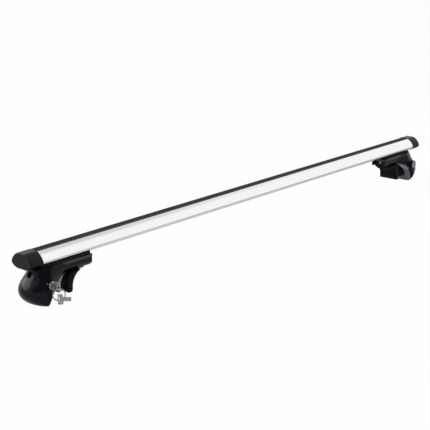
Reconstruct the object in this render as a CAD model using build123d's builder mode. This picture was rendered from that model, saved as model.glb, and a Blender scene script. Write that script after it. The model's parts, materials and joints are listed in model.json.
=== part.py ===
from math import cos, radians, sin, sqrt
import os

from build123d import *

os.makedirs("parts", exist_ok=True)

# Lengths in mm. X runs along the bar, Z is up, the origin is on the crown at mid-length.

# Bar section: crown, nose and heel arcs run into each other on each side
bar_length = 1146.0
crown_radius = 26.0
crown_sweep = 68.0
nose_radius = 5.0
nose_sweep = 67.0
heel_radius = 21.6
land_half = 8.0
land_round = 6.0
bar_wall = 1.8

# Top slot and the strip that closes it
strip_width = 15.6
strip_thick = 1.7
strip_gap = 0.15
groove_width = 0.8
groove_depth = 0.5
slot_mouth = 10.6
slot_lip = 1.8
slot_width = 19.0
slot_depth = 6.5

# Bottom slot that carries the feet
foot_mouth = 7.2
foot_lip = 2.0
foot_slot = 13.0
foot_slot_depth = 5.6

# End caps
cap_length = 27.0
cap_proud = 0.7
cap_round = 2.4
plug_length = 20.0
plug_gap = 0.3

# Roof rail and the foot that stands over it
rail_inset = 39.0
rail_radius = 13.0
rail_rise = 21.6
foot_drop = 70.0
gasket_thick = 2.0
gasket_gap = 0.25
arch_reach = 26.0
arch_sink = 6.0
rail_pad_thick = 2.6
arch_flat = 16.0
arch_flare = 0.42
arm_length = 76.0
arm_half = 22.0
arm_depth = 27.0
arm_side = 4.0
arm_round = 9.0
arm_front = 5.0
arm_back = 20.0
roof = 6.0
shell = 3.5

# Leg sections from the top to the sole:
# share of the height, crease and nose reach beyond the rail, half width
leg_root = 26.0
root_half = 8.0
root_tuck = 1.5
leg_sections = (
    (0.00, 12.0, 44.0, 22.4),
    (0.16, 18.0, 49.0, 25.5),
    (0.33, 22.0, 58.0, 30.0),
    (0.50, 23.0, 66.0, 33.5),
    (0.66, 24.0, 66.0, 34.0),
    (0.83, 25.0, 58.0, 32.0),
    (0.93, 26.0, 48.5, 28.5),
    (1.00, 27.0, 37.0, 21.0),
)

# Claw and its clamp bolt
claw_travel = 10.0
trough_half = 16.0
slide_gap = 0.3
carriage_length = 40.0
claw_thick = 14.0
claw_hang = 9.0
claw_sweep = 27.0
claw_curl = 72.0
claw_slope = 3.0
claw_corner = 4.5
pad_thick = 3.0
pad_half = 15.5
pad_angle = 20.0
bolt_drop = 11.5
bolt_radius = 3.0
bolt_head_radius = 5.0
bolt_head_height = 6.0
bolt_socket = 5.0
bolt_seat = 14.5
bolt_tip = 13.0
nut_flats = 10.0
nut_thick = 5.0
nut_inset = 20.0
washer_radius = 7.0
washer_thick = 1.5
tool_radius = 5.25

# Screws and plate that hold the foot in the bottom slot
plate_thick = 4.4
plate_gap = 0.4
plate_length = 62.0
screw_pitch = 35.0
screw_radius = 3.0
screw_head_radius = 5.0
screw_head_height = 3.4
screw_socket = 4.0

# Lock
lock_reach = 29.5
lock_drop = 28.0
lock_out = 34.0
lock_in = 4.0
boss_radius = 9.5
barrel_radius = 7.0
bezel_radius = 7.6
bezel_thick = 1.6
plug_radius = 4.8
plug_clear = 0.3
cam_thick = 4.0
cam_reach = 19.0
cam_width = 8.0
cam_hub = 5.5
cam_screw_radius = 2.0
cam_screw_head = 3.5

# Keys and ring
key_thick = 2.0
key_blade = 7.0
key_depth = 21.0
key_neck = 2.5
bow_length = 15.4
bow_height = 17.5
ring_radius = 10.3
ring_wire = 2.0
ring_thick = 1.8
ring_turn = 38.0
hole_margin = 1.6
hole_half = 2.4
hole_length = 10.0
spare_place = -90.0
spare_heading = 17.0
spare_lean = 15.0
spare_droop = 18.0
spare_slack = 0.6
fit_gap = 0.3

# Places that follow from the sizes above
crown_end = radians(crown_sweep)
nose_end = radians(crown_sweep + nose_sweep)
heel_sweep = 180 - crown_sweep - nose_sweep
crown_rise = crown_radius - sqrt(crown_radius**2 - land_half**2)
bar_bottom = crown_rise - (crown_radius * (1 - cos(crown_end))
                           + nose_radius * (cos(crown_end) - cos(nose_end))
                           + heel_radius * (cos(nose_end) + 1))
bar_end = bar_length / 2
foot_top = bar_bottom - gasket_thick
sole = bar_bottom - foot_drop
rail_x = bar_end - rail_inset
rail_z = sole + rail_rise
arch_x = rail_x - arch_reach
arch_z = sole - arch_sink
arch_radius = sqrt(arch_reach**2 + (rail_z - arch_z)**2) + rail_radius + rail_pad_thick
arm_end = rail_x - arm_length
ceiling = foot_top - roof
bolt_z = foot_top - bolt_drop
seat_x = rail_x + bolt_seat
head_x = seat_x + washer_thick
lock_x = rail_x + lock_reach
lock_z = foot_top - lock_drop
claw_face = rail_radius + pad_thick
carriage_out = rail_x - claw_face - 4.0
carriage_in = carriage_out - carriage_length
carriage_half = trough_half - slide_gap
carriage_top = ceiling - slide_gap
nut_x = carriage_in + nut_inset


def bar_face(grow):
    # Bar outline moved outward by grow, in the bar's own Y and Z
    with BuildSketch() as outline:
        with BuildLine():
            crown = JernArc((0, crown_rise + grow), (1, 0), crown_radius + grow, -crown_sweep)
            nose = JernArc(crown @ 1, crown % 1, nose_radius + grow, -nose_sweep)
            heel = JernArc(nose @ 1, nose % 1, heel_radius + grow, -heel_sweep)
            Line(heel @ 1, (0, (heel @ 1).Y))
            mirror(about=Plane.YZ)
        make_face()
        with Locations((0, grow)):
            Rectangle(4 * land_half, 4 * crown_rise, align=(Align.CENTER, Align.MIN), mode=Mode.SUBTRACT)
        fillet(outline.vertices().group_by(Axis.Y)[-1], land_round)
    return outline.sketch


def crown_at(y):
    return crown_rise - crown_radius + sqrt(crown_radius**2 - y**2)


def band(half, low, high):
    # Rectangle across the bar between two heights
    with BuildSketch() as box:
        with Locations((0, (low + high) / 2)):
            Rectangle(2 * half, high - low)
    return box.sketch


channel_top = -(strip_thick + slot_lip)
channel_floor = channel_top - slot_depth
top_box = slot_width / 2 + bar_wall
foot_channel = bar_bottom + foot_lip
foot_channel_top = foot_channel + foot_slot_depth
foot_box = foot_slot / 2 + bar_wall

with BuildPart() as crossbar:
    with BuildSketch(Plane.YZ.offset(-bar_end)):
        add(bar_face(0))
        add(bar_face(-bar_wall), mode=Mode.SUBTRACT)
        add(band(top_box, channel_floor - bar_wall, crown_at(top_box) - bar_wall / 2))
        add(band(foot_box, bar_bottom, foot_channel_top + bar_wall))
        add(band(bar_wall / 2, foot_channel_top, channel_floor))
        add(band(slot_width / 2, channel_floor, channel_top), mode=Mode.SUBTRACT)
        add(band(slot_mouth / 2, channel_top, 1), mode=Mode.SUBTRACT)
        add(band(strip_width / 2 + strip_gap, -strip_thick, 1), mode=Mode.SUBTRACT)
        add(band(foot_slot / 2, foot_channel, foot_channel_top), mode=Mode.SUBTRACT)
        add(band(foot_mouth / 2, bar_bottom - 1, foot_channel), mode=Mode.SUBTRACT)
    extrude(amount=bar_length)

with BuildPart() as top_strip:
    with BuildSketch(Plane.YZ.offset(-bar_end)) as strip_section:
        add(band(strip_width / 2, -strip_thick, 0))
        fillet(strip_section.vertices().group_by(Axis.Y)[-1], strip_thick * 0.45)
        add(band(slot_mouth / 2 - strip_gap, channel_top - strip_gap, -strip_thick))
        add(band(slot_mouth / 2 + slot_lip, channel_top - slot_lip, channel_top - strip_gap))
        with Locations((-strip_width / 3, 0), (strip_width / 3, 0)):
            Rectangle(groove_width, 2 * groove_depth, mode=Mode.SUBTRACT)
    extrude(amount=bar_length)

with BuildPart() as right_end_cap:
    with BuildSketch(Plane.YZ.offset(bar_end)):
        add(bar_face(cap_proud))
    extrude(amount=cap_length)
    fillet(faces().sort_by(Axis.X)[-1].edges(), cap_round)
    with BuildSketch(Plane.YZ.offset(bar_end)):
        add(bar_face(-bar_wall - plug_gap))
        add(band(top_box + plug_gap, channel_floor - bar_wall - plug_gap, 1), mode=Mode.SUBTRACT)
        add(band(foot_box + plug_gap, bar_bottom - 1, foot_channel_top + bar_wall + plug_gap),
            mode=Mode.SUBTRACT)
        add(band(bar_wall / 2 + plug_gap, bar_bottom, 0), mode=Mode.SUBTRACT)
    extrude(amount=-plug_length)


def arm_at(z):
    # Half width of the arm's rounded underside at a height
    rise = (foot_top - arm_side - z) / (arm_depth - arm_side)
    return arm_half * sqrt(max(0, 1 - max(0, rise)**2))


def leg_loft(top, inset):
    # Body of the leg through its level sections, inset for the hollow inside
    with BuildPart() as leg:
        for share, crease, nose, half in leg_sections:
            level = top - share * (top - sole)
            root = max(arm_at(level) - root_tuck, root_half) - inset
            with BuildSketch(Plane.XY.offset(level)):
                with BuildLine():
                    front = Line((rail_x - leg_root, -root), (rail_x + crease, inset - half))
                    EllipticalCenterArc((rail_x + crease, 0), nose - crease - inset, half - inset,
                                        start_angle=-90, arc_size=180)
                    back = Line((rail_x + crease, half - inset), (rail_x - leg_root, root))
                    Line(back @ 1, front @ 0)
                make_face()
        loft()
    return leg.part


def arch_spool(grow):
    # Round arch through the foot, straight in the middle and flared to both sides
    reach = 60.0
    with BuildPart() as spool:
        with BuildSketch(Plane(origin=(arch_x, 0, arch_z), x_dir=(0, 1, 0), z_dir=(1, 0, 0))):
            with BuildLine():
                Polyline((-reach, 0),
                         (-reach, arch_radius + grow + arch_flare * (reach - arch_flat)),
                         (-arch_flat, arch_radius + grow),
                         (arch_flat, arch_radius + grow),
                         (reach, arch_radius + grow + arch_flare * (reach - arch_flat)),
                         (reach, 0), close=True)
            make_face()
        revolve(axis=Axis((arch_x, 0, arch_z), (0, 1, 0)))
    return spool.part


with BuildPart() as leg_hollow:
    add(leg_loft(foot_top - shell, shell))
    add(arch_spool(shell * 1.3), mode=Mode.SUBTRACT)
    with BuildSketch(Plane.YZ.offset(seat_x)):
        Rectangle(6 * arm_half, 6 * foot_drop)
    extrude(amount=-6 * leg_root, mode=Mode.SUBTRACT)
    with BuildSketch(Plane.XZ.offset(lock_in)):
        with Locations((lock_x, lock_z)):
            Circle(barrel_radius + shell * 0.9)
    extrude(amount=3 * lock_out, mode=Mode.SUBTRACT)
    with BuildSketch(Plane.YZ.offset(head_x + bolt_head_height + 1)):
        with Locations((0, bolt_z)):
            Circle(tool_radius + shell * 0.8)
    extrude(amount=3 * lock_reach, mode=Mode.SUBTRACT)

screw_xs = (arm_end + plate_length / 2 - screw_pitch / 2 + 6, arm_end + plate_length / 2 + screw_pitch / 2 + 6)


def arm_plan(inset):
    # Plan of the arm, its inner end rounded little in front and much behind
    with BuildSketch() as plan:
        with Locations((arm_end + inset, 0)):
            Rectangle(arm_length - inset, 2 * arm_half, align=(Align.MIN, Align.CENTER))
        inner_end = plan.vertices().group_by(Axis.X)[0].sort_by(Axis.Y)
        fillet(inner_end[0], arm_front)
        fillet(plan.vertices().group_by(Axis.X)[0].sort_by(Axis.Y)[-1], arm_back)
    return plan.sketch


with BuildPart() as arm:
    with BuildSketch(Plane.YZ.offset(arm_end)):
        with BuildLine():
            EllipticalCenterArc((0, foot_top - arm_side), arm_half, arm_depth - arm_side,
                                start_angle=180, arc_size=180)
            Polyline((arm_half, foot_top - arm_side), (arm_half, foot_top),
                     (-arm_half, foot_top), (-arm_half, foot_top - arm_side))
        make_face()
    extrude(amount=arm_length + leg_sections[0][1] - 2)
    # Its inner end is rounded in plan and from the side
    with BuildSketch(Plane.XY.offset(foot_top)):
        with Locations((arm_end, 0)):
            Rectangle(arm_back, 3 * arm_half, align=(Align.MIN, Align.CENTER))
        add(arm_plan(0), mode=Mode.SUBTRACT)
    extrude(amount=-arm_depth, mode=Mode.SUBTRACT)
    with BuildSketch(Plane.XZ.offset(-arm_half)):
        with Locations((arm_end, foot_top)):
            Rectangle(arm_round, 2 * arm_depth, align=(Align.MIN, Align.CENTER))
        with Locations((arm_end + arm_length, foot_top - arm_round)):
            RectangleRounded(2 * arm_length, 3 * arm_round - 1, arm_round, mode=Mode.SUBTRACT)
    extrude(amount=2 * arm_half, mode=Mode.SUBTRACT)

with BuildPart() as right_foot_housing:
    add(leg_loft(foot_top, 0))
    add(arm.part)
    add(arch_spool(0), mode=Mode.SUBTRACT)
    with BuildSketch(Plane.XZ.offset(lock_in)):
        with Locations((lock_x, lock_z)):
            Circle(boss_radius)
    extrude(amount=lock_out - lock_in)
    add(leg_hollow.part, mode=Mode.SUBTRACT)
    # Trough for the claw, open below and at the inner end
    with BuildSketch(Plane.YZ.offset(arm_end - 1)):
        add(band(trough_half, sole, ceiling))
    extrude(amount=carriage_out + claw_travel + 1 - arm_end + 1, mode=Mode.SUBTRACT)
    # Bolt bore and the hole for the tool
    with BuildSketch(Plane.YZ.offset(carriage_out)):
        with Locations((0, bolt_z)):
            Circle(bolt_radius + slide_gap)
    extrude(amount=seat_x - carriage_out, mode=Mode.SUBTRACT)
    with BuildSketch(Plane.YZ.offset(head_x)):
        with Locations((0, bolt_z)):
            Circle(tool_radius)
    extrude(amount=3 * lock_reach, mode=Mode.SUBTRACT)
    # Lock bore and room for the cam
    with BuildSketch(Plane.XZ.offset(lock_in)):
        with Locations((lock_x, lock_z)):
            Circle(barrel_radius)
    extrude(amount=lock_out, mode=Mode.SUBTRACT)
    with BuildSketch(Plane.XZ.offset(lock_in - 0.1)):
        with Locations((lock_x, lock_z)):
            Circle(cam_reach + 1)
        with Locations((lock_x - cam_hub - 1, lock_z - cam_hub - 1)):
            Rectangle(2 * cam_reach, 2 * cam_reach, align=(Align.MIN, Align.MIN), mode=Mode.INTERSECT)
    extrude(amount=-cam_thick - 2, mode=Mode.SUBTRACT)
    # Holes and head recesses of the foot screws
    with BuildSketch(Plane.XY.offset(foot_top)):
        with Locations(*[(x, 0) for x in screw_xs]):
            Circle(screw_radius + slide_gap)
    extrude(amount=-roof, mode=Mode.SUBTRACT)
    with BuildSketch(Plane.XY.offset(ceiling)):
        with Locations(*[(x, 0) for x in screw_xs]):
            Circle(screw_head_radius + slide_gap)
    extrude(amount=screw_head_height + slide_gap, mode=Mode.SUBTRACT)

with BuildPart() as right_bar_gasket:
    with BuildSketch(Plane.YZ.offset(arm_end)):
        add(band(arm_half, foot_top, bar_bottom + heel_radius / 5))
        add(bar_face(gasket_gap), mode=Mode.SUBTRACT)
    extrude(amount=bar_end - arm_end - 1)
    # Its outline follows the arm's rounded end and the top of the leg
    with BuildSketch(Plane.XY.offset(foot_top)):
        add(arm_plan(arm_round / 2))
        with Locations((rail_x, 0)):
            Ellipse(leg_sections[0][2], arm_half)
    extrude(amount=heel_radius, mode=Mode.INTERSECT)
    with BuildSketch(Plane.XY.offset(foot_top)):
        with Locations(*[(x, 0) for x in screw_xs]):
            Circle(screw_radius + slide_gap)
    extrude(amount=gasket_thick, mode=Mode.SUBTRACT)

plate_low = foot_channel + plate_gap / 2
with BuildPart() as right_slot_plate:
    with BuildSketch(Plane.XY.offset(plate_low)):
        with Locations(((screw_xs[0] + screw_xs[1]) / 2, 0)):
            RectangleRounded(plate_length, foot_slot - 2 * plate_gap, 2)
        with Locations(*[(x, 0) for x in screw_xs]):
            Circle(screw_radius + slide_gap / 2, mode=Mode.SUBTRACT)
    extrude(amount=plate_thick)

with BuildPart() as right_foot_screws:
    head_low = ceiling + slide_gap
    with Locations(*[(x, 0, head_low) for x in screw_xs]):
        Cylinder(screw_head_radius, screw_head_height, align=(Align.CENTER, Align.CENTER, Align.MIN))
        Cylinder(screw_radius, plate_low + plate_thick - head_low,
                 align=(Align.CENTER, Align.CENTER, Align.MIN))
    with BuildSketch(Plane.XY.offset(head_low)):
        with Locations(*[(x, 0) for x in screw_xs]):
            RegularPolygon(screw_socket / 2, 6, major_radius=False)
    extrude(amount=screw_head_height * 0.6, mode=Mode.SUBTRACT)

pad_low = rail_z - rail_radius * 0.75
with BuildPart() as right_rail_pad:
    with BuildSketch(Plane.XZ.offset(-pad_half)):
        with Locations((arch_x, arch_z)):
            Circle(arch_radius)
        with Locations((rail_x - rail_radius / 4, pad_low)):
            Rectangle(4 * rail_radius, 4 * rail_radius, align=(Align.MIN, Align.MIN),
                      mode=Mode.INTERSECT)
        with Locations((rail_x, rail_z)):
            Circle(rail_radius, mode=Mode.SUBTRACT)
    extrude(amount=2 * pad_half)
    fillet(edges().filter_by(Axis.X).group_by(Axis.Z)[0], pad_half * 0.45)

arc_rise = claw_face * sin(radians(pad_angle))
arc_run = claw_face * cos(radians(pad_angle))
claw_top = foot_top - arm_depth + 5.5
claw_low = rail_z - claw_hang
with BuildPart() as right_claw:
    with BuildSketch(Plane.XZ.offset(-arm_half)):
        with BuildLine():
            inner = rail_x - arc_run - claw_thick
            Polyline((carriage_out - 8, claw_top), (carriage_out, claw_top - claw_slope),
                     (rail_x - arc_run, rail_z + arc_rise))
            ThreePointArc((rail_x - arc_run, rail_z + arc_rise), (rail_x - claw_face, rail_z),
                          (rail_x - arc_run, rail_z - arc_rise))
            Polyline((rail_x - arc_run, rail_z - arc_rise), (rail_x - arc_run - 2, claw_low - 1),
                     (inner + 5, claw_low - 1), (inner, claw_low + 5), (inner, claw_top - claw_sweep))
            curl = JernArc((inner, claw_top - claw_sweep), (0, 1), claw_sweep, claw_curl)
            Polyline(curl @ 1, ((curl @ 1).X, claw_top), (carriage_out - 8, claw_top))
        make_face()
    extrude(amount=2 * arm_half)
    fillet([e for e in edges() if abs(e.center().Y) > arm_half - 0.1 and e.center().X < inner + 1
            and e.center().Z < claw_top - 2], claw_corner)
    with BuildSketch(Plane.YZ.offset(carriage_in)):
        with BuildLine():
            side = foot_top - arm_side - (arm_depth - arm_side) * sqrt(1 - (carriage_half / arm_half)**2)
            ThreePointArc((-carriage_half, side), (0, foot_top - arm_depth), (carriage_half, side))
            Polyline((carriage_half, side), (carriage_half, carriage_top),
                     (-carriage_half, carriage_top), (-carriage_half, side))
        make_face()
    extrude(amount=carriage_length)
    with BuildSketch(Plane.YZ.offset(carriage_in)):
        with Locations((0, bolt_z)):
            Circle(bolt_radius + slide_gap)
        add(band(bolt_radius + slide_gap, bolt_z, carriage_top))
    extrude(amount=carriage_length, mode=Mode.SUBTRACT)
    with BuildSketch(Plane.YZ.offset(nut_x)):
        add(band(nut_flats / sqrt(3) + slide_gap, bolt_z - nut_flats / 2, carriage_top))
    extrude(amount=nut_thick, mode=Mode.SUBTRACT)

with BuildPart() as right_claw_pad:
    with BuildSketch(Plane.XZ.offset(-pad_half)):
        with BuildLine():
            outer = CenterArc((rail_x, rail_z), claw_face, 180 - pad_angle, 2 * pad_angle)
            inside = CenterArc((rail_x, rail_z), rail_radius, 180 - pad_angle, 2 * pad_angle)
            Line(outer @ 0, inside @ 0)
            Line(outer @ 1, inside @ 1)
        make_face()
    extrude(amount=2 * pad_half)

with BuildPart() as right_clamp_bolt:
    with BuildSketch(Plane.YZ.offset(arm_end + bolt_tip)):
        with Locations((0, bolt_z)):
            Circle(bolt_radius)
    extrude(amount=head_x - arm_end - bolt_tip)
    chamfer(faces().sort_by(Axis.X)[0].edges(), bolt_radius * 0.3)
    with BuildSketch(Plane.YZ.offset(head_x)):
        with Locations((0, bolt_z)):
            Circle(bolt_head_radius)
    extrude(amount=bolt_head_height)
    chamfer(faces().sort_by(Axis.X)[-1].edges(), bolt_radius * 0.15)
    with BuildSketch(Plane.YZ.offset(head_x + bolt_head_height)):
        with Locations((0, bolt_z)):
            RegularPolygon(bolt_socket / 2, 6, major_radius=False)
    extrude(amount=-bolt_head_height * 0.6, mode=Mode.SUBTRACT)

with BuildPart() as right_clamp_washer:
    with BuildSketch(Plane.YZ.offset(seat_x)):
        with Locations((0, bolt_z)):
            Circle(washer_radius)
            Circle(bolt_radius + slide_gap, mode=Mode.SUBTRACT)
    extrude(amount=washer_thick)

with BuildPart() as right_clamp_nut:
    with BuildSketch(Plane.YZ.offset(nut_x)):
        with Locations((0, bolt_z)):
            RegularPolygon(nut_flats / 2, 6, major_radius=False)
            Circle(bolt_radius + slide_gap, mode=Mode.SUBTRACT)
    extrude(amount=nut_thick)

with BuildPart() as right_lock_barrel:
    with BuildSketch(Plane.XZ.offset(lock_in)):
        with Locations((lock_x, lock_z)):
            Circle(barrel_radius)
            Circle(plug_radius + plug_clear, mode=Mode.SUBTRACT)
    extrude(amount=lock_out - lock_in)

with BuildPart() as right_lock_bezel:
    with BuildSketch(Plane.XZ.offset(lock_out)):
        with Locations((lock_x, lock_z)):
            Circle(bezel_radius)
            Circle(plug_radius + plug_clear, mode=Mode.SUBTRACT)
    extrude(amount=bezel_thick)
    fillet(faces().sort_by(Axis.Y)[0].edges().sort_by(SortBy.RADIUS)[-1], bezel_thick * 0.6)

plug_front = lock_out + bezel_thick * 0.7
plug_back = lock_in - 0.5
way_half = key_blade / 2 + fit_gap
with BuildPart() as right_lock_plug:
    with BuildSketch(Plane.XZ.offset(plug_back)):
        with Locations((lock_x, lock_z)):
            Circle(plug_radius)
    extrude(amount=plug_front - plug_back)
    with BuildSketch(Plane.XZ.offset(plug_front)):
        with Locations((lock_x, lock_z)):
            Rectangle(key_thick + 2 * fit_gap, 2 * way_half)
    extrude(amount=-key_depth - 1, mode=Mode.SUBTRACT)
    with BuildSketch(Plane.XZ.offset(plug_back)):
        with Locations((lock_x, lock_z)):
            Circle(cam_screw_radius)
    extrude(amount=4, mode=Mode.SUBTRACT)

with BuildPart() as right_lock_cam:
    with BuildSketch(Plane.XZ.offset(plug_back)):
        with Locations((lock_x, lock_z)):
            Circle(cam_hub)
        with Locations((lock_x + cam_reach / 2, lock_z)):
            SlotCenterToCenter(cam_reach - cam_width, cam_width)
        with Locations((lock_x, lock_z)):
            Circle(cam_screw_radius, mode=Mode.SUBTRACT)
    extrude(amount=-cam_thick)

with BuildPart() as right_cam_screw:
    with BuildSketch(Plane.XZ.offset(plug_back - cam_thick)):
        with Locations((lock_x, lock_z)):
            Circle(cam_screw_head)
    extrude(amount=-cam_screw_radius)
    with BuildSketch(Plane.XZ.offset(plug_back - cam_thick)):
        with Locations((lock_x, lock_z)):
            Circle(cam_screw_radius)
    extrude(amount=cam_thick + 4)
    with BuildSketch(Plane.XZ.offset(plug_back - cam_thick - cam_screw_radius)):
        with Locations((lock_x, lock_z)):
            Rectangle(2 * cam_screw_head, 0.8)
    extrude(amount=cam_screw_radius * 0.4, mode=Mode.SUBTRACT)

# The key in the left lock, the ring through its bow and the spare key on the ring
bow_in = plug_front + key_neck
hole_y = bow_in + bow_length - hole_margin - hole_half
hole_z = hole_half - hole_length / 2


def key_face():
    # Key outline: blade toward negative, bow toward positive, hole near the bow's end
    with BuildSketch() as outline:
        with Locations(((plug_front - key_depth + bow_in) / 2, 0)):
            Rectangle(bow_in - plug_front + key_depth, key_blade)
        chamfer(outline.vertices().group_by(Axis.X)[0], key_blade * 0.3)
        with Locations((bow_in + bow_length / 2, 0)):
            RectangleRounded(bow_length, bow_height, bow_height * 0.22)
        with Locations((hole_y, 0)):
            SlotCenterToCenter(-2 * hole_z, 2 * hole_half, rotation=90, mode=Mode.SUBTRACT)
    return outline.sketch


with BuildPart() as key:
    with BuildSketch(Plane(origin=(-lock_x - key_thick / 2, 0, lock_z), x_dir=(0, -1, 0), z_dir=(1, 0, 0))):
        mirror(key_face(), about=Plane.XZ)
    extrude(amount=key_thick)

wire_z = lock_z + hole_z + fit_gap
ring_z = wire_z - ring_radius
turn = radians(ring_turn)
with BuildPart() as key_ring:
    with BuildSketch(Plane(origin=(-lock_x, -hole_y, ring_z), x_dir=(cos(turn), -sin(turn), 0), z_dir=(0, 0, 1))):
        with Locations((ring_radius, 0)):
            RectangleRounded(ring_thick, ring_wire, ring_thick * 0.3)
    revolve(axis=Axis((-lock_x, -hole_y, ring_z), (sin(turn), cos(turn), 0)))

# The spare key lies level, its bow leaning back and threaded on the ring's lower side
place = radians(spare_place)
heading = radians(spare_heading)
lean = radians(spare_lean)
droop = radians(spare_droop)
spare_hole = (-lock_x + ring_radius * cos(place) * cos(turn),
              -hole_y - ring_radius * cos(place) * sin(turn),
              ring_z + ring_radius * sin(place))
spare_plane = Plane(origin=spare_hole, x_dir=(-cos(heading) * cos(droop), -sin(heading) * cos(droop), sin(droop)),
                    z_dir=(cos(lean) * sin(heading), -cos(lean) * cos(heading), sin(lean)))
with BuildPart() as spare_key:
    with BuildSketch(spare_plane.offset(-key_thick / 2)):
        with Locations((-hole_y, hole_z + spare_slack)):
            add(key_face())
    extrude(amount=key_thick)

sides = {
    "end_cap": right_end_cap,
    "foot_housing": right_foot_housing,
    "bar_gasket": right_bar_gasket,
    "slot_plate": right_slot_plate,
    "foot_screws": right_foot_screws,
    "rail_pad": right_rail_pad,
    "claw": right_claw,
    "claw_pad": right_claw_pad,
    "clamp_bolt": right_clamp_bolt,
    "clamp_washer": right_clamp_washer,
    "clamp_nut": right_clamp_nut,
    "lock_barrel": right_lock_barrel,
    "lock_bezel": right_lock_bezel,
    "lock_plug": right_lock_plug,
    "lock_cam": right_lock_cam,
    "cam_screw": right_cam_screw,
}
pieces = {"crossbar": crossbar.part, "top_strip": top_strip.part, "key": key.part, "key_ring": key_ring.part,
          "spare_key": spare_key.part}
for name, piece in sides.items():
    with BuildPart() as twin:
        mirror(piece.part, about=Plane.YZ)
    pieces["right_" + name] = piece.part
    pieces["left_" + name] = twin.part

for name, piece in pieces.items():
    piece.label = name
    export_step(piece, f"parts/{name}.step")
    print(name, round(piece.volume), len(piece.solids()), [round(v, 1) for v in piece.bounding_box().size])
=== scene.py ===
import json
import math

import bmesh
import bpy
import numpy as np
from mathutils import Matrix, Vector


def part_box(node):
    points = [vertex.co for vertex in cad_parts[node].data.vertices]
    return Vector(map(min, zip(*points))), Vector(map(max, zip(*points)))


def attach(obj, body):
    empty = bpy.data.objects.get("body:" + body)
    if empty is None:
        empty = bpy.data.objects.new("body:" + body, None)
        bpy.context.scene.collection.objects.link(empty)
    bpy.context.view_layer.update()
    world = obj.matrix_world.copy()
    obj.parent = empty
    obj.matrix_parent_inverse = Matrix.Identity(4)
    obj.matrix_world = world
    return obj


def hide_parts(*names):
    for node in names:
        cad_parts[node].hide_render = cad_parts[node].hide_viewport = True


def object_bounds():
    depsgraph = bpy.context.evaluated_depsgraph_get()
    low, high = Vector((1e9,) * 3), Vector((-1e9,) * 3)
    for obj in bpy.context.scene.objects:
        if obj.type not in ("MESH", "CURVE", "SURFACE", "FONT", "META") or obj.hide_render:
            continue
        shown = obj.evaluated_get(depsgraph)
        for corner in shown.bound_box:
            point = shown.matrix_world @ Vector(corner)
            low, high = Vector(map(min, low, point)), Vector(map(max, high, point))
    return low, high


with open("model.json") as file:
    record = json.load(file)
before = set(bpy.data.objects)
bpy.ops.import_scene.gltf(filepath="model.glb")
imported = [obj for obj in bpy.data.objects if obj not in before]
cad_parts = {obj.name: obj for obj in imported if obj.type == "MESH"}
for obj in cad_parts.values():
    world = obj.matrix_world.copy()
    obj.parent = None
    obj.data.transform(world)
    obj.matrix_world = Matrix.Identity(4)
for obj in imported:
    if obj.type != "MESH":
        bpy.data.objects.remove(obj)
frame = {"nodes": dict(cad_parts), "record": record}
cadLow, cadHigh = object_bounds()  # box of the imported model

joints = {j["name"]: j for j in frame["record"]["behaviour"]["joints"]}
sides = {"left": -1, "right": 1}  # which way along X leads out of the bar's end
print("frame loaded:", len(frame["nodes"]), "nodes")


class Wire:  # a shader socket that takes part in Python expressions
    def __init__(self, bench, socket):
        self.bench, self.socket = bench, socket

    def math(self, operation, a, b=0.0):
        return self.bench.node("ShaderNodeMath", {"operation": operation}, {0: a, 1: b})

    def __add__(self, other): return self.math("ADD", self, other)
    def __radd__(self, other): return self.math("ADD", other, self)
    def __sub__(self, other): return self.math("SUBTRACT", self, other)
    def __rsub__(self, other): return self.math("SUBTRACT", other, self)
    def __mul__(self, other): return self.math("MULTIPLY", self, other)
    def __rmul__(self, other): return self.math("MULTIPLY", other, self)
    def __abs__(self): return self.math("ABSOLUTE", self)
    def __lt__(self, other): return self.math("LESS_THAN", self, other)
    def top(self, other): return self.math("MAXIMUM", self, other)
    def root(self): return self.math("SQRT", self)


class Bench:  # the node tree of one material, or of the world
    def __init__(self, name, owner=None):
        self.owner = owner or bpy.data.materials.new(name)
        self.owner.use_nodes = True
        self.tree = self.owner.node_tree
        self.tree.nodes.clear()

    def node(self, kind, settings=None, sockets=None, out=0):
        made = self.tree.nodes.new(kind)
        for key, value in (settings or {}).items():
            setattr(made, key, value)
        for key, value in (sockets or {}).items():
            if isinstance(value, Wire):
                self.tree.links.new(value.socket, made.inputs[key])
            else:
                made.inputs[key].default_value = value
        return Wire(self, made.outputs[out]) if made.outputs else None

    def place(self, scale=(1, 1, 1)):  # object coordinates, stretched
        where = self.node("ShaderNodeTexCoord", out="Object")
        return self.node("ShaderNodeMapping", {}, {"Vector": where, "Scale": scale})

    def split(self, vector):
        apart = self.node("ShaderNodeSeparateXYZ", {}, {0: vector}).socket.node
        return [Wire(self, socket) for socket in apart.outputs]

    def rays(self):  # whether a ray comes from the camera, off a gloss or through a clear surface
        path = self.node("ShaderNodeLightPath").socket.node
        kinds = ("Is Camera Ray", "Is Glossy Ray", "Is Transmission Ray")
        return [Wire(self, path.outputs[kind]) for kind in kinds]

    def grain(self, scale, stretch=(1, 1, 1), detail=3.0):
        sockets = {"Vector": self.place(stretch), "Scale": scale, "Detail": detail}
        return self.node("ShaderNodeTexNoise", {}, sockets)

    def tint(self, factor, dark, light):
        ends = [shade if isinstance(shade, Wire) else (*shade, 1) for shade in (dark, light)]
        sockets = {0: factor, 6: ends[0], 7: ends[1]}  # 6, 7 and output 2 are the colour sockets
        return self.node("ShaderNodeMix", {"data_type": "RGBA"}, sockets, out=2)

    def bump(self, height, strength, distance):
        sockets = {"Height": height, "Strength": strength, "Distance": distance}
        return self.node("ShaderNodeBump", {}, sockets)

    def finish(self, **sockets):
        named = {key.replace("_", " "): value for key, value in sockets.items()}
        shader = self.node("ShaderNodeBsdfPrincipled", {}, named)
        self.node("ShaderNodeOutputMaterial", {}, {"Surface": shader})
        return self.owner


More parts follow.
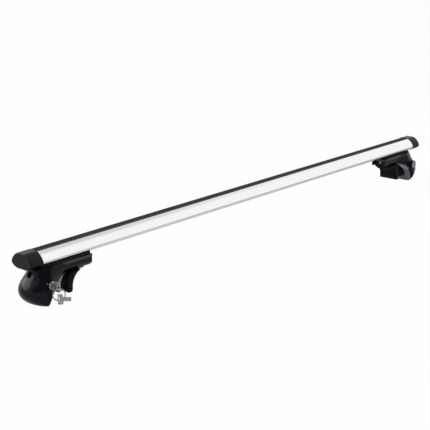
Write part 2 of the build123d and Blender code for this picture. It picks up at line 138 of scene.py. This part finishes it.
barLook = {"dark": (0.86, 0.87, 0.88), "light": (0.95, 0.955, 0.96), "rough": 0.17, "spread": 0.08,
           "lines": 900.0, "linesLong": 0.012, "linesShare": 0.7, "cloud": 30.0, "cloudLong": 0.2,
           "bump": 0.08, "bumpDeep": 0.0002}


def anodisedBar(v):
    b = Bench("anodisedBar")
    lines = b.grain(v["lines"], (v["linesLong"], 1, 1), 4)  # draw lines of the die run along X
    cloud = b.grain(v["cloud"], (v["cloudLong"], 1, 1))
    shade = lines * v["linesShare"] + cloud * (1 - v["linesShare"])
    return b.finish(Base_Color=b.tint(shade, v["dark"], v["light"]), Metallic=1.0,
                    Roughness=lines * v["spread"] + (v["rough"] - v["spread"] / 2),
                    Normal=b.bump(lines, v["bump"], v["bumpDeep"]))


stripLook = {"dark": (0.011, 0.011, 0.012), "light": (0.020, 0.020, 0.021), "rough": 0.5,
             "specular": 0.20, "grain": 2600.0, "speckle": 0.15, "dustCoarser": 40, "dustLong": 0.4,
             "bump": 0.25, "bumpDeep": 0.0002}
padLook = dict(stripLook, dark=(0.008, 0.008, 0.009), light=(0.016, 0.016, 0.018), rough=0.7,
               specular=0.12, grain=1800.0)


def rubberSkin(name, v):
    b = Bench(name)
    fine = b.grain(v["grain"], detail=5)
    dust = b.grain(v["grain"] / v["dustCoarser"], (v["dustLong"], 1, 1))
    return b.finish(Base_Color=b.tint(dust, v["dark"], v["light"]),
                    Roughness=fine * v["speckle"] + v["rough"], Specular_IOR_Level=v["specular"],
                    Normal=b.bump(fine, v["bump"], v["bumpDeep"]))


capLook = {"dark": (0.004, 0.004, 0.005), "light": (0.008, 0.008, 0.009), "rough": 0.34,
           "sparkRough": 0.10, "flowRough": 0.06, "specular": 0.16, "sheen": (1, 1, 1, 1),
           "grain": 3000.0, "flow": 45.0, "bump": 0.3, "bumpDeep": 0.0001}
clawLook = dict(capLook, dark=(0.003, 0.003, 0.004), light=(0.006, 0.006, 0.007), rough=0.40,
                specular=0.09, grain=2400.0, bump=0.25)
footLook = dict(capLook, dark=(0.0022, 0.0025, 0.0035), light=(0.004, 0.0045, 0.006), rough=0.17,
                specular=0.21, sheen=(0.80, 0.89, 1.0, 1), grain=2400.0, bump=0.03)
beadLook = dict(footLook, specular=0.85, rough=0.12)
# painted highlight: the light grey of the rim strips stands in for light on the arch's rim
rimHighlightLook = dict(capLook, dark=(0.25, 0.26, 0.295), light=(0.31, 0.32, 0.36), rough=0.45,
                  specular=0.2, grain=2400.0, bump=0.2)
# the arch's shape, and the painted highlight on it: a lighter grey band near the arch's wall that stands in
# for light on the rim, with its reach, width and colours
archLook = {"axisIn": 0.026, "axisDown": 0.0276, "radius": 0.053518, "flat": 0.016, "flare": 0.42,
            "reach": 0.0004, "wide": 0.0265, "rougher": 0.25,
            "dark": (0.22, 0.23, 0.26), "light": (0.28, 0.29, 0.325)}
railAt = [m for m in frame["record"]["mounts"] if m["name"] == "right_rail_clamp"][0]["pos_m"]
archX, archZ = railAt[0] - archLook["axisIn"], railAt[2] - archLook["axisDown"]  # arch axis, along Y


def mouldedPlastic(name, v, archHighlight=None):
    b = Bench(name)
    spark = b.grain(v["grain"], detail=2)  # spark-eroded mould texture
    flow = b.grain(v["flow"], detail=2)
    colour = b.tint(flow, v["dark"], v["light"])
    least = v["rough"] - (v["sparkRough"] + v["flowRough"]) / 2
    rough = spark * v["sparkRough"] + flow * v["flowRough"] + least
    if archHighlight:  # painted highlight on the arch: points as far from its axis as the flared radius are coloured a lighter grey that stands in for light on the rim
        x, y, z = b.split(b.place())
        along, high = abs(x) - archX, z - archZ
        radius = (abs(y) - archHighlight["flat"]).top(0.0) * archHighlight["flare"] + archHighlight["radius"]
        onArch = (along * along + high * high).root() - radius < archHighlight["reach"]
        paintedRim = onArch * (abs(y) < archHighlight["wide"])
        # painted highlight: lighter grey in place of the housing's black where light falls on the arch's
        # rim
        colour = b.tint(paintedRim, colour, b.tint(flow, archHighlight["dark"], archHighlight["light"]))
        rough = rough + paintedRim * archHighlight["rougher"]
    return b.finish(Base_Color=colour, Roughness=rough, Specular_IOR_Level=v["specular"],
                    Specular_Tint=v["sheen"], Normal=b.bump(spark, v["bump"], v["bumpDeep"]))


steelLook = {"dark": (0.30, 0.30, 0.31), "light": (0.48, 0.48, 0.48), "rough": 0.32,
             "scratchRough": 0.16, "scratchLess": 0.06, "grain": 900.0, "cloudCoarser": 6,
             "scratchLong": 0.08, "bump": 0.06, "bumpDeep": 0.0001}
lockLook = dict(steelLook, dark=(0.34, 0.34, 0.34), light=(0.56, 0.56, 0.55), rough=0.22, grain=1500.0)
keyLook = dict(steelLook, dark=(0.26, 0.26, 0.25), light=(0.48, 0.48, 0.46), rough=0.24, grain=1200.0)


def platedMetal(name, v):
    b = Bench(name)
    cloud = b.grain(v["grain"] / v["cloudCoarser"], detail=3)
    scratch = b.grain(v["grain"], (1, v["scratchLong"], 1), 4)
    return b.finish(Base_Color=b.tint(cloud, v["dark"], v["light"]), Metallic=1.0,
                    Roughness=scratch * v["scratchRough"] + (v["rough"] - v["scratchLess"]),
                    Normal=b.bump(scratch, v["bump"], v["bumpDeep"]))


looks = {
    "bar": anodisedBar(barLook),
    "strip": rubberSkin("stripRubber", stripLook),
    "rubber": rubberSkin("padRubber", padLook),
    "cap": mouldedPlastic("capPlastic", capLook),
    "housing": mouldedPlastic("footPlastic", footLook, archLook),
    "bead": mouldedPlastic("beadPlastic", beadLook),
    # painted highlight of the arch's lit rim, for the rim strips
    "archHighlight": mouldedPlastic("archRimHighlight", rimHighlightLook),
    "claw": mouldedPlastic("clawPlastic", clawLook),
    "steel": platedMetal("zincSteel", steelLook),
    "lock": platedMetal("lockNickel", lockLook),
    "key": platedMetal("keyNickel", keyLook),
}
slotOf = {s["node"]: s["material_slot"] for s in frame["record"]["subparts"]}
for name, node in frame["nodes"].items():
    node.data.materials.clear()
    node.data.materials.append(looks[slotOf[name]])
print("materials made:", len(looks))

weld = 1e-7  # points closer than this are one


def circle(count):  # angles once round, the last one short of the first
    return np.linspace(0, 2 * np.pi, count, endpoint=False)


def bent(wave, power):  # signed power, which squares off a cosine or sine
    return np.sign(wave) * abs(wave)**power


def eased(share):  # smooth step: three squares less two cubes
    return share * share * (3 - 2 * share)


def gridFaces(rows, columns, wrapRows, wrapColumns):  # four corners of every cell of a grid of points
    index = np.arange(rows * columns).reshape(rows, columns)
    if wrapRows:
        index = np.vstack([index, index[:1]])
    if wrapColumns:
        index = np.hstack([index, index[:, :1]])
    corners = [index[:-1, :-1], index[1:, :-1], index[1:, 1:], index[:-1, 1:]]
    return np.stack(corners, axis=-1).reshape(-1, 4)


def surfacePiece(name, sheets, look, body, node=None, sharp=35):
    # sheets are (points, wrapRows, wrapColumns); doubles are merged, open ends filled, faces turned outward
    points, faces, count = [], [], 0
    for sheet, wrapRows, wrapColumns in sheets:
        rows, columns = sheet.shape[:2]
        points.append(sheet.reshape(-1, 3))
        faces.append(gridFaces(rows, columns, wrapRows, wrapColumns) + count)
        count += rows * columns
    mesh = bpy.data.meshes.new(name)
    mesh.from_pydata(np.vstack(points).tolist(), [], np.vstack(faces).tolist())
    work = bmesh.new()
    work.from_mesh(mesh)
    bmesh.ops.remove_doubles(work, verts=work.verts, dist=weld)
    bmesh.ops.dissolve_degenerate(work, edges=work.edges, dist=weld)
    bmesh.ops.holes_fill(work, edges=[e for e in work.edges if e.is_boundary])
    bmesh.ops.recalc_face_normals(work, faces=work.faces)
    work.to_mesh(mesh)
    work.free()
    mesh.polygons.foreach_set("use_smooth", np.ones(len(mesh.polygons), dtype=bool))
    mesh.set_sharp_from_angle(angle=math.radians(sharp))
    mesh.materials.append(look)
    piece = bpy.data.objects.new(name, mesh)
    bpy.context.scene.collection.objects.link(piece)
    if node:
        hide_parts(node)
    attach(piece, body)


strip = {"ribs": 9, "ribDeep": 0.00035, "ribSoft": 0.0003, "thick": 0.0017,
         "grooveAt": 1 / 3, "grooveWide": 0.0008, "grooveDeep": 0.0005, "grooveFlat": 1.4,
         "neck": 0.00515, "hook": 0.0071, "hookTop": 0.00365, "sharp": 50,
         "wing": 0.0096, "proud": 0.00015, "wingEdge": 0.0003, "sunk": 0.00005,
         "barLip": ((0.00795, -0.00008), (0.00909, -0.00038), (0.01236, -0.00186))}  # y, z beside the strip


def ribbedStrip(v):
    # section (y, z): thin wings lying on the bar's lips, two grooves, cosine ribs between them; carried
    # straight along X
    low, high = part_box("top_strip")
    half, bottom = (high[1] - low[1]) / 2, low[2]
    grooveY = 2 * half * v["grooveAt"]
    lipY, lipZ = np.array(v["barLip"]).T
    wing = v["wing"]
    y = np.linspace(-wing, wing, 241)
    rim = np.clip((abs(y) - wing) / v["wingEdge"] + 1, 0, 1)
    crown = np.minimum(0, np.interp(abs(y), lipY, lipZ) + v["proud"] * np.sqrt(1 - rim**2))
    groove = np.clip(v["grooveFlat"] - abs(abs(y) - grooveY) / (v["grooveWide"] / 2), 0, 1)
    field = np.clip((grooveY - v["grooveWide"] - abs(y)) / v["ribSoft"], 0, 1)
    rib = 0.5 + 0.5 * np.cos(np.pi * y * v["ribs"] / (grooveY - v["grooveWide"]))
    z = crown - groove * v["grooveDeep"] - field * rib**2 * v["ribDeep"]
    under = np.array([(wing, np.interp(wing, lipY, lipZ) - v["sunk"]), (lipY[1], lipZ[1] - v["sunk"]),
                      (half, lipZ[0] - v["sunk"]), (half, -v["thick"]), (v["neck"], -v["thick"]),
                      (v["neck"], -v["hookTop"]), (v["hook"], -v["hookTop"]), (v["hook"], bottom)])
    section = np.vstack([np.column_stack([y, z]), under, under[::-1] * (-1, 1)])
    along = np.linspace(low[0], high[0], 24)
    grid = np.empty((len(along), len(section), 3))
    grid[..., 0] = along[:, None]
    grid[..., 1:] = section[None]
    surfacePiece("topStripRibbed", [(grid, False, True)], looks["strip"], "bar", "top_strip",
                 v["sharp"])


ribbedStrip(strip)
print("top strip made")

keyShape = {"thick": 0.0020, "blade": 0.0070, "tip": 0.01412, "tipBevel": 0.0021, "overlap": 0.0012,
            "bowIn": 0.03762, "bowLong": 0.0154, "bowHigh": 0.0175, "square": 0.40, "crisp": 0.30,
            "holeAt": 0.04902, "holeWide": 0.0048, "holeLong": 0.010,
            "cuts": (0.0012, 0.0006, 0.0015, 0.0009, 0.0013), "firstCut": 0.0035, "cutStep": 0.0026,
            "cutHalf": 0.0013, "channelAt": 0.0006, "channelHalf": 0.0007, "channelDeep": 0.00035,
            "sharp": 40}


def keySheets(v, origin, ex, ey, ez):
    # bow: a flattened ring between the slot and a squared ellipse; blade: a grooved bar section along ex
    # with V cuts; ey runs across the blade and ez through its thickness
    u, w = circle(120)[:, None], circle(40)[None]
    outer = (v["bowIn"] + v["bowLong"] / 2 * (1 + bent(np.cos(u), v["square"])),
             v["bowHigh"] / 2 * bent(np.sin(u), v["square"]))
    end = v["holeWide"] / 2
    inner = (v["holeAt"] + end * np.cos(u),
             end * np.sin(u) + (v["holeLong"] / 2 - end) * np.clip(4 * np.sin(u), -1, 1))
    share = 0.5 + 0.5 * bent(np.cos(w), v["crisp"])
    bow = [inner[k] + (outer[k] - inner[k]) * share for k in (0, 1)]
    bow.append(v["thick"] / 2 * bent(np.sin(w), v["crisp"]) + 0 * u)
    x = np.linspace(v["tip"], v["bowIn"] + v["overlap"], 160)[:, None]
    centres = v["tip"] + v["firstCut"] + v["cutStep"] * np.arange(len(v["cuts"]))
    depth = np.array(v["cuts"])
    vee = np.clip(1 - abs(x - centres[None]) / v["cutHalf"], 0, 1)
    full = v["blade"] / 2 - np.clip(v["tipBevel"] - (x - v["tip"]), 0, None)
    above = full - (vee * depth).max(axis=1, keepdims=True)
    below = full - (vee * depth[::-1]).max(axis=1, keepdims=True)
    s = np.linspace(-1, 1, 26)[None]
    across = -below + (above + below) * (s + 1) / 2
    channel = np.exp(-((across - v["channelAt"]) / v["channelHalf"])**4)
    wall = v["thick"] / 2 - v["channelDeep"] * channel
    blade = [np.hstack([x + 0 * s, x + 0 * s]), np.hstack([across, across[:, ::-1]]),
             np.hstack([wall, -wall[:, ::-1]])]
    sheets = []
    for (a, b, c), wrapRows in ((bow, True), (blade, False)):
        grid = origin + a[..., None] * ex + b[..., None] * ey + c[..., None] * ez
        sheets.append((grid, wrapRows, True))
    return sheets


lockAt = np.array(joints["left_lock_turn"]["pos_m"])
ringAt = np.array(joints["spare_key_swing"]["pos_m"])
ringAxis = np.array(joints["spare_key_swing"]["axis"])
toFront, toRight, toTop = np.array([0, -1.0, 0]), np.array([1.0, 0, 0]), np.array([0, 0, 1.0])
lockKeyAt = np.array([lockAt[0], 0, lockAt[2]])
surfacePiece("lockKey", keySheets(keyShape, lockKeyAt, toFront, toTop, toRight), looks["key"],
             "key", "key", keyShape["sharp"])

spareTurn = {"heading": math.radians(17), "lean": math.radians(15), "droop": math.radians(18),
             "slack": 0.0006, "ringRadius": 0.0103}


def hangingKey(v, shape):
    # the key's axes from its heading, lean and droop; the slot of its bow hangs on the ring's lowest point
    heading, lean, droop = v["heading"], v["lean"], v["droop"]
    east, north = math.cos(heading), math.sin(heading)
    ez = np.array([math.cos(lean) * north, -math.cos(lean) * east, math.sin(lean)])
    ex = np.array([-east * math.cos(droop), -north * math.cos(droop), math.sin(droop)])
    ex = ex - ez * (ex @ ez)
    ex = ex / np.linalg.norm(ex)
    ey = np.cross(ez, ex)
    holeDown = shape["holeWide"] / 2 - shape["holeLong"] / 2 + v["slack"]
    origin = ringAt - (0, 0, v["ringRadius"]) - ex * shape["holeAt"] + ey * holeDown
    return keySheets(shape, origin, ex, ey, ez)


surfacePiece("spareKey", hangingKey(spareTurn, keyShape), looks["key"],
             "spare_key", "spare_key", keyShape["sharp"])

coil = {"radius": 0.0103, "thick": 0.0018, "wire": 0.0020, "gap": 0.00005, "jump": 0.28, "end": 0.36,
        "turned": 0.7, "square": 0.5, "sharp": 45}


def splitRing(v):
    # flat wire carried round two turns: angle t, with a side step from one coil to the other over the jump
    t = np.linspace(v["end"], 4 * np.pi - v["end"], 320)[:, None]
    w = circle(28)[None]
    step = eased(np.clip((t - 2 * np.pi + v["jump"]) / (2 * v["jump"]), 0, 1)) - 0.5
    out = v["radius"] + v["thick"] / 2 * bent(np.cos(w), v["square"])
    side = step * v["wire"] / 2 + (v["wire"] / 4 - v["gap"]) * bent(np.sin(w), v["square"])
    level = np.array([-ringAxis[1], ringAxis[0], 0])
    t = t + v["turned"]
    flat = (out * np.cos(t))[..., None] * level + (out * np.sin(t))[..., None] * toTop
    return ringAt + flat + side[..., None] * ringAxis


surfacePiece("splitRing", [(splitRing(coil), False, True)], looks["key"],
             "key_ring", "key_ring", coil["sharp"])
print("keys and ring made")

clampBolt = {"head": 0.005, "headLong": 0.006, "headEdge": 0.0005, "shank": 0.003, "pitch": 0.001,
             "cut": 0.00055, "runOut": 0.0015, "point": 0.0009, "socket": 0.005, "socketDeep": 0.6,
             "socketWiden": 1.02, "socketCone": 0.0006, "sharp": 40}
footScrew = dict(clampBolt, headLong=0.0034, socket=0.004)


def hexScrew(v, length):
    # turned surface R(angle, row): tip, thread as a sawtooth of row less angle, head, hexagon socket
    # down to its floor
    turn = circle(72)[None]
    shankLong = length - v["headLong"]
    along = np.linspace(0, shankLong, int(shankLong / v["pitch"] * 10))  # ten rows to a turn
    end = np.clip(np.minimum(along, along[-1] - along) / v["runOut"], 0, 1)
    deep = length - v["socketDeep"] * v["headLong"]
    rows = np.array([  # height, radius, and 1 where the row is a hexagon
        (shankLong, v["head"], 0), (length - v["headEdge"], v["head"], 0),
        (length, v["head"] - v["headEdge"], 0), (length, v["socket"] / 2 * v["socketWiden"], 1),
        (deep, v["socket"] / 2, 1), (deep - v["socketCone"], 0, 1)])
    hexagon = 1 / np.cos((turn + np.pi / 6) % (np.pi / 3) - np.pi / 6)
    saw = abs((along[:, None] / v["pitch"] - turn / (2 * np.pi)) % 1 - 0.5) * 2
    point = v["point"] * np.clip(1 - along[:, None] / v["point"], 0, 1)
    shank = v["shank"] - v["cut"] * saw * end[:, None] - point
    head = rows[:, 1:2] * (1 + rows[:, 2:3] * (hexagon - 1))
    radius = np.vstack([0 * turn, shank, head])
    height = np.concatenate([[0], along, rows[:, 0]])[:, None] + 0 * radius
    return radius * np.cos(turn), radius * np.sin(turn), height


def boltPiece(v, side, out):  # lies along X, head outward
    low, high = [np.array(corner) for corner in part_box(f"{side}_clamp_bolt")]
    first, second, height = hexScrew(v, high[0] - low[0])
    inner = low[0] if out > 0 else high[0]
    mid = (low + high) / 2
    grid = np.stack([inner + out * height, mid[1] + first, mid[2] + second], -1)
    surfacePiece(f"{side}ClampBolt", [(grid, False, True)], looks["steel"],
                 f"{side}_bolt", f"{side}_clamp_bolt", v["sharp"])


def screwPair(v, side):  # stands along Z, heads down
    low, high = [np.array(corner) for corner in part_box(f"{side}_foot_screws")]
    first, second, height = hexScrew(v, high[2] - low[2])
    pair = []
    for x in (low[0] + v["head"], high[0] - v["head"]):
        pair.append((np.stack([x + first, second, high[2] - height], -1), False, True))
    surfacePiece(f"{side}FootScrews", pair, looks["steel"],
                 f"{side}_foot", f"{side}_foot_screws", v["sharp"])


for side, out in sides.items():
    boltPiece(clampBolt, side, out)
    screwPair(footScrew, side)
print("bolts and screws made")

lip = {"end": 0.0003, "half": 0.022, "front": 0.005, "back": 0.020, "long": 0.084, "drop": 0.0027,
       "high": 0.0023, "proud": 0.0011, "rear": -0.35, "sunk": 0.0002, "melt": 0.036}


def armLip(v, side, out):
    # half-round bead carried along the plan of the arm's top edge: front side, inner end, back side;
    # each row of the path is x, y and the outward direction there
    low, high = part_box(f"{side}_foot_housing")
    inner = (low[0] if out > 0 else -high[0]) + v["end"]
    run, arc = np.linspace(0, 1, 60), np.linspace(0, np.pi / 2, 24)
    still, sin, cos = 0 * run, np.sin(arc), np.cos(arc)
    front = [inner + v["long"] - (v["long"] - v["front"]) * run, still - v["half"], still, still - 1]
    corner = [inner + v["front"] - v["front"] * sin, v["front"] - v["half"] - v["front"] * cos, -sin, -cos]
    farCorner = [inner + v["back"] - v["back"] * cos, v["half"] - v["back"] + v["back"] * sin, -cos, sin]
    back = [inner + v["back"] + (v["long"] - v["back"]) * run, still + v["half"], still, still + 1]
    path = np.vstack([np.column_stack(part) for part in (front, corner, farCorner, back)])
    fade = eased(np.clip((inner + v["long"] - path[:, :1]) / v["melt"], 0, 1))
    w = circle(32)[None]
    push = np.maximum(np.cos(w), v["rear"]) * v["proud"] * fade - v["sunk"]
    grid = np.stack([out * (path[:, :1] + path[:, 2:3] * push), path[:, 1:2] + path[:, 3:4] * push,
                     high[2] - v["drop"] + v["high"] * np.sin(w) + 0 * push], -1)
    surfacePiece(f"{side}ArmLip", [(grid, False, True)], looks["bead"], f"{side}_foot")


archRim = {"from": 40, "to": 78, "fitHalf": 24, "onWall": 3e-5, "offFlat": 0.0004,  # degrees, metres
           "deep": 0.0042, "tuck": 0.0003, "thick": 0.0070, "sunk": 0.0006, "square": 0.45,
           "taper": 6, "startShare": 0.12, "startThin": 0.05,
           "clawTop": -0.0499, "clawReach": (0.008, 0.016), "clawSlope": 0.003, "clawFall": 0.8,
           "tongue": 0.0161}


def archWall(y):  # radius of the arch at y: level in the middle, flared beyond the flat
    return archLook["radius"] + archLook["flare"] * np.clip(abs(y) - archLook["flat"], 0, None)


def rimLine(v, side, angles):  # half width of the arch at its rim: a smooth line through the rim's points
    mesh = frame["nodes"][f"{side}_foot_housing"].data
    flat = np.empty(3 * len(mesh.vertices))
    mesh.vertices.foreach_get("co", flat)
    x, y, z = flat.reshape(-1, 3).T
    along, high = abs(x) - archX, z - archZ
    angle = np.degrees(np.arctan2(high, along))
    onWall = abs(np.hypot(along, high) - archWall(y)) < v["onWall"]
    near = abs(angle - (v["from"] + v["to"]) / 2) < v["fitHalf"]
    rim = onWall & near & (-y > archLook["flat"] + v["offFlat"])
    return np.polyval(np.polyfit(angle[rim] / 100, -y[rim], 3), angles / 100)


def rimHighlightStrip(v, side, out):
    # rounded strip carried round the upper arch just within both of its rims, coloured light grey as a
    # painted highlight of the lit rim: angle a, y from the rim inward, distance from the arch's axis from
    # the flared wall inward, thinner where the claw passes below
    angles = np.linspace(v["from"], v["to"], 90)
    edge, a = rimLine(v, side, angles)[:, None], np.radians(angles)[:, None]
    w = circle(32)[None]
    back = edge - v["tuck"] - v["deep"] / 2 * (1 - bent(np.cos(w), v["square"]))
    back = np.maximum(back, v["tongue"])  # clear of the claw's tongue
    outer = archWall(back) + v["sunk"]
    beyond = (outer - v["thick"]) * np.cos(a)
    first, last = v["clawReach"]  # how far past the arch's axis the claw's top and its sloped corner come
    slope = v["clawSlope"] * np.clip((beyond - first) / (last - first), 0, 1)
    claw = v["clawTop"] - slope - v["clawFall"] * np.clip(beyond - last, 0, None)
    room = outer - (claw - archZ) / np.sin(a)
    share = (a - a[0]) / (a[-1] - a[0])
    thick = np.minimum(v["thick"] * (1 - share**v["taper"]) + v["sunk"], room)
    grow = np.clip(share / v["startShare"], v["startThin"], 1)
    dist = outer - thick * grow * (0.5 - 0.5 * bent(np.sin(w), v["square"]))
    x, z = out * (archX + dist * np.cos(a)), archZ + dist * np.sin(a)
    sheets = [(np.stack([x, face * back + 0 * a, z], -1), False, True) for face in (-1, 1)]
    surfacePiece(f"{side}ArchRimHighlight", sheets, looks["archHighlight"], f"{side}_foot")


for side, out in sides.items():
    armLip(lip, side, out)
    rimHighlightStrip(archRim, side, out)
print("arm lips and arch highlightStrips made")

stage = {"floor": 6.0, "below": 0.0005, "pale": (0.62, 0.62, 0.62), "toWhite": 0.97, "inGloss": 0.1}


def paleFloor(v):
    size, low = v["floor"], cadLow.z - v["below"]
    corners = [(-size, -size, low), (size, -size, low), (size, size, low), (-size, size, low)]
    mesh = bpy.data.meshes.new("floor")
    mesh.from_pydata(corners, [], [(0, 1, 2, 3)])
    floor = bpy.data.objects.new("floor", mesh)
    bpy.context.scene.collection.objects.link(floor)
    b = Bench("paleFloor")
    seen, gloss, through = b.rays()
    matt = b.node("ShaderNodeBsdfDiffuse", {}, {"Color": (*v["pale"], 1)})
    glow = b.node("ShaderNodeEmission", {}, {"Color": (1, 1, 1, 1), "Strength": 1.0})
    white = (seen * v["toWhite"]).top(gloss.top(through) * v["inGloss"])
    both = b.node("ShaderNodeMixShader", {}, {0: white, 1: matt, 2: glow})
    b.node("ShaderNodeOutputMaterial", {}, {"Surface": both})
    mesh.materials.append(b.owner)


paleFloor(stage)

sky = {"ambient": 0.55, "seen": 1.0,
       "flags": (  # direction, edge and darkness of each dark cloth round the set, seen only in gloss
           ((-0.33, -0.91, 0.26), (0.62, 0.84), 0.8),
           ((0.50, 0.10, 0.86), (0.91, 1.0), 0.35))}


def studioSky(v):
    world = bpy.data.worlds.new("studio")
    bpy.context.scene.world = world
    b = Bench("studio", world)
    seen, gloss, through = b.rays()
    towards = b.node("ShaderNodeTexCoord", out="Generated")
    white = seen.top(gloss).top(through)
    shown = white * v["seen"]
    for to, edge, dark in v["flags"]:
        facing = b.node("ShaderNodeVectorMath", {"operation": "DOT_PRODUCT"}, {0: towards, 1: to},
                        out="Value")
        flag = b.node("ShaderNodeMapRange", {"interpolation_type": "SMOOTHSTEP"},
                      {"Value": facing, "From Min": edge[0], "From Max": edge[1]})
        shown = shown * (1 - flag * gloss * dark)
    strength = (1 - white) * v["ambient"] + shown
    ground = b.node("ShaderNodeBackground", {}, {"Color": (1, 1, 1, 1), "Strength": strength})
    b.node("ShaderNodeOutputWorld", {}, {"Surface": ground})


studioSky(sky)

lamps = {
    "overhead": {"place": (0.3, -0.4, 2.2), "target": (0, 0, 0), "size": (2.2, 1.4), "watts": 7.5,
                 "inGloss": False},  # no bright patch of it on the bar
    "backPanel": {"place": (-1.27, 1.03, 0.94), "target": (-0.55, 0, -0.05), "size": (2.5, 1.1),
                  "watts": 30, "inGloss": True},
}


def turnTo(thing, direction):  # aims a lamp or the camera
    thing.rotation_mode = "QUATERNION"
    thing.rotation_quaternion = direction.to_track_quat("-Z", "Y")


def areaLamp(name, v):
    light = bpy.data.lights.new(name, "AREA")
    light.shape, light.energy = "RECTANGLE", v["watts"]
    light.size, light.size_y = v["size"]
    lamp = bpy.data.objects.new(name, light)
    bpy.context.scene.collection.objects.link(lamp)
    lamp.location = v["place"]
    lamp.visible_glossy = v["inGloss"]
    turnTo(lamp, Vector(v["target"]) - Vector(v["place"]))


for name, values in lamps.items():
    areaLamp(name, values)

shot = {"place": (-1.81364, -1.46130, 0.60136), "azimuth": 0.8615589, "pitch": 0.2783131,
        "focalPixels": 1200, "framePixels": 430, "sensor": 36, "near": 0.05, "far": 50}


def photoCamera(v):  # azimuth runs from +Y towards +X, pitch looks down
    data = bpy.data.cameras.new("camera")
    data.sensor_width, data.lens = v["sensor"], v["focalPixels"] / v["framePixels"] * v["sensor"]
    data.clip_start, data.clip_end = v["near"], v["far"]
    camera = bpy.data.objects.new("camera", data)
    bpy.context.scene.collection.objects.link(camera)
    camera.location = v["place"]
    level, east, north = math.cos(v["pitch"]), math.sin(v["azimuth"]), math.cos(v["azimuth"])
    turnTo(camera, Vector((east * level, north * level, -math.sin(v["pitch"]))))
    bpy.context.scene.camera = camera


photoCamera(shot)
bpy.context.scene.view_settings.view_transform = "Standard"
print("stage, lamps and camera set")
